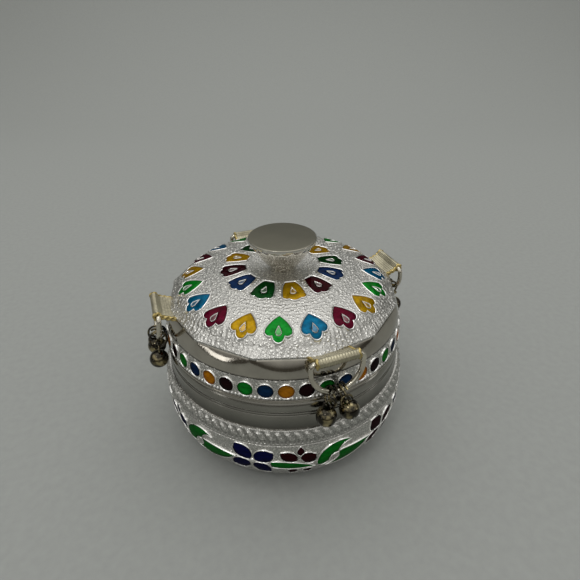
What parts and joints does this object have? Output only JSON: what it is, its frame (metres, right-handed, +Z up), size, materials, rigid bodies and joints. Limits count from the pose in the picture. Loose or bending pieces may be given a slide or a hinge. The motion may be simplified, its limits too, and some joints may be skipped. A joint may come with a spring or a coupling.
{
  "type": "lidded enamel box",
  "caption": "Small round metal box with a lift-off domed lid, coloured enamel inlay, a flat-topped knob and wire rings that carry little bells.",
  "frame": {"origin": "middle of the base, on the surface that the box stands on", "axes": "+Z up through the knob, -Y towards the front hanger, +X towards the right hanger"},
  "size_m": [0.0886, 0.0886, 0.0654],
  "materials": {
    "satin_white_metal": "satin",
    "polished_white_metal": "polished",
    "embossed_silver_sheet": "engraved bright",
    "antique_brass": "darkened",
    "gilt_clip": "ribbed",
    "ring_wire": "bright drawn",
    "enamel_green": "glossy",
    "enamel_deep_green": "glossy",
    "enamel_blue": "glossy",
    "enamel_navy": "glossy",
    "enamel_crimson": "glossy",
    "enamel_maroon": "glossy",
    "enamel_yellow": "glossy",
    "enamel_orange": "glossy"
  },
  "bodies": {
    "box": {"body_shell": "satin_white_metal", "neck_collar": "satin_white_metal", "vine_sheet": "embossed_silver_sheet", "vine_green": "enamel_deep_green", "vine_blue": "enamel_blue", "vine_maroon": "enamel_crimson"},
    "lid": {"lid_shell": "polished_white_metal", "lid_top_sheet": "embossed_silver_sheet", "lid_top_sheet_teardrops": "embossed_silver_sheet", "outer_enamel_green": "enamel_green", "outer_enamel_blue": "enamel_blue", "outer_enamel_crimson": "enamel_crimson", "outer_enamel_yellow": "enamel_yellow", "inner_enamel_green": "enamel_deep_green", "inner_enamel_yellow": "enamel_yellow", "inner_enamel_crimson": "enamel_crimson", "inner_enamel_blue": "enamel_navy", "lid_dot_strip": "embossed_silver_sheet", "dot_enamel_maroon": "enamel_maroon", "dot_enamel_green": "enamel_green", "dot_enamel_blue": "enamel_blue", "dot_enamel_orange": "enamel_orange", "knob": "satin_white_metal", "knob_washer": "ring_wire", "knob_screw": "ring_wire", "front_clip": "gilt_clip", "right_clip": "gilt_clip", "back_clip": "gilt_clip", "left_clip": "gilt_clip"},
    "front_ring": {"front_ring": "ring_wire"},
    "front_split_ring_a": {"front_split_ring_a": "antique_brass"},
    "front_bell_a": {"front_bell_a": "antique_brass", "front_pellet_a": "antique_brass"},
    "front_split_ring_b": {"front_split_ring_b": "antique_brass"},
    "front_bell_b": {"front_bell_b": "antique_brass", "front_pellet_b": "antique_brass"},
    "right_ring": {"right_ring": "ring_wire"},
    "right_split_ring_a": {"right_split_ring_a": "antique_brass"},
    "right_bell_a": {"right_bell_a": "antique_brass", "right_pellet_a": "antique_brass"},
    "right_split_ring_b": {"right_split_ring_b": "antique_brass"},
    "right_bell_b": {"right_bell_b": "antique_brass", "right_pellet_b": "antique_brass"},
    "back_ring": {"back_ring": "ring_wire"},
    "back_split_ring_a": {"back_split_ring_a": "antique_brass"},
    "back_bell_a": {"back_bell_a": "antique_brass", "back_pellet_a": "antique_brass"},
    "back_split_ring_b": {"back_split_ring_b": "antique_brass"},
    "back_bell_b": {"back_bell_b": "antique_brass", "back_pellet_b": "antique_brass"},
    "left_ring": {"left_ring": "ring_wire"},
    "left_split_ring_a": {"left_split_ring_a": "antique_brass"},
    "left_bell_a": {"left_bell_a": "antique_brass", "left_pellet_a": "antique_brass"},
    "left_split_ring_b": {"left_split_ring_b": "antique_brass"},
    "left_bell_b": {"left_bell_b": "antique_brass", "left_pellet_b": "antique_brass"}
  },
  "joints": [
    {"name": "lid_lift", "type": "slide", "parent": "box", "child": "lid", "axis": [0, 0, 1], "range_m": [0, 0.06]},
    {"name": "front_ring_swing", "type": "hinge", "parent": "lid", "child": "front_ring", "pos_m": [0, -0.0392, 0.0496], "axis": [-1, 0, 0], "range_deg": [0, 180]},
    {"name": "front_split_ring_a_swing", "type": "hinge", "parent": "front_ring", "child": "front_split_ring_a", "pos_m": [-0.0015, -0.04051, 0.04025], "axis": [-0.9703, 0.0337, 0.2396], "range_deg": [0, 75]},
    {"name": "front_bell_a_swing", "type": "hinge", "parent": "front_split_ring_a", "child": "front_bell_a", "pos_m": [-0.00241, -0.04102, 0.03662], "axis": [0, 0.9903, -0.1392], "range_deg": [0, 40]},
    {"name": "front_split_ring_b_swing", "type": "hinge", "parent": "front_ring", "child": "front_split_ring_b", "pos_m": [0.0015, -0.04051, 0.04025], "axis": [-0.9703, -0.0337, -0.2396], "range_deg": [0, 75]},
    {"name": "front_bell_b_swing", "type": "hinge", "parent": "front_split_ring_b", "child": "front_bell_b", "pos_m": [0.00241, -0.04102, 0.03662], "axis": [0, -0.9903, 0.1392], "range_deg": [0, 40]},
    {"name": "right_ring_swing", "type": "hinge", "parent": "lid", "child": "right_ring", "pos_m": [0.0392, 0, 0.0496], "axis": [0, -1, 0], "range_deg": [0, 180]},
    {"name": "right_split_ring_a_swing", "type": "hinge", "parent": "right_ring", "child": "right_split_ring_a", "pos_m": [0.04051, -0.0015, 0.04025], "axis": [-0.0337, -0.9703, 0.2396], "range_deg": [0, 75]},
    {"name": "right_bell_a_swing", "type": "hinge", "parent": "right_split_ring_a", "child": "right_bell_a", "pos_m": [0.04102, -0.00241, 0.03662], "axis": [-0.9903, 0, -0.1392], "range_deg": [0, 40]},
    {"name": "right_split_ring_b_swing", "type": "hinge", "parent": "right_ring", "child": "right_split_ring_b", "pos_m": [0.04051, 0.0015, 0.04025], "axis": [0.0337, -0.9703, -0.2396], "range_deg": [0, 75]},
    {"name": "right_bell_b_swing", "type": "hinge", "parent": "right_split_ring_b", "child": "right_bell_b", "pos_m": [0.04102, 0.00241, 0.03662], "axis": [0.9903, 0, 0.1392], "range_deg": [0, 40]},
    {"name": "back_ring_swing", "type": "hinge", "parent": "lid", "child": "back_ring", "pos_m": [0, 0.0392, 0.0496], "axis": [1, 0, 0], "range_deg": [0, 180]},
    {"name": "back_split_ring_a_swing", "type": "hinge", "parent": "back_ring", "child": "back_split_ring_a", "pos_m": [0.0015, 0.04051, 0.04025], "axis": [0.9703, -0.0337, 0.2396], "range_deg": [0, 75]},
    {"name": "back_bell_a_swing", "type": "hinge", "parent": "back_split_ring_a", "child": "back_bell_a", "pos_m": [0.00241, 0.04102, 0.03662], "axis": [0, -0.9903, -0.1392], "range_deg": [0, 40]},
    {"name": "back_split_ring_b_swing", "type": "hinge", "parent": "back_ring", "child": "back_split_ring_b", "pos_m": [-0.0015, 0.04051, 0.04025], "axis": [0.9703, 0.0337, -0.2396], "range_deg": [0, 75]},
    {"name": "back_bell_b_swing", "type": "hinge", "parent": "back_split_ring_b", "child": "back_bell_b", "pos_m": [-0.00241, 0.04102, 0.03662], "axis": [0, 0.9903, 0.1392], "range_deg": [0, 40]},
    {"name": "left_ring_swing", "type": "hinge", "parent": "lid", "child": "left_ring", "pos_m": [-0.0392, 0, 0.0496], "axis": [0, 1, 0], "range_deg": [0, 180]},
    {"name": "left_split_ring_a_swing", "type": "hinge", "parent": "left_ring", "child": "left_split_ring_a", "pos_m": [-0.04051, 0.0015, 0.04025], "axis": [0.0337, 0.9703, 0.2396], "range_deg": [0, 75]},
    {"name": "left_bell_a_swing", "type": "hinge", "parent": "left_split_ring_a", "child": "left_bell_a", "pos_m": [-0.04102, 0.00241, 0.03662], "axis": [0.9903, 0, -0.1392], "range_deg": [0, 40]},
    {"name": "left_split_ring_b_swing", "type": "hinge", "parent": "left_ring", "child": "left_split_ring_b", "pos_m": [-0.04051, -0.0015, 0.04025], "axis": [-0.0337, 0.9703, -0.2396], "range_deg": [0, 75]},
    {"name": "left_bell_b_swing", "type": "hinge", "parent": "left_split_ring_b", "child": "left_bell_b", "pos_m": [-0.04102, -0.00241, 0.03662], "axis": [-0.9903, 0, 0.1392], "range_deg": [0, 40]}
  ]
}
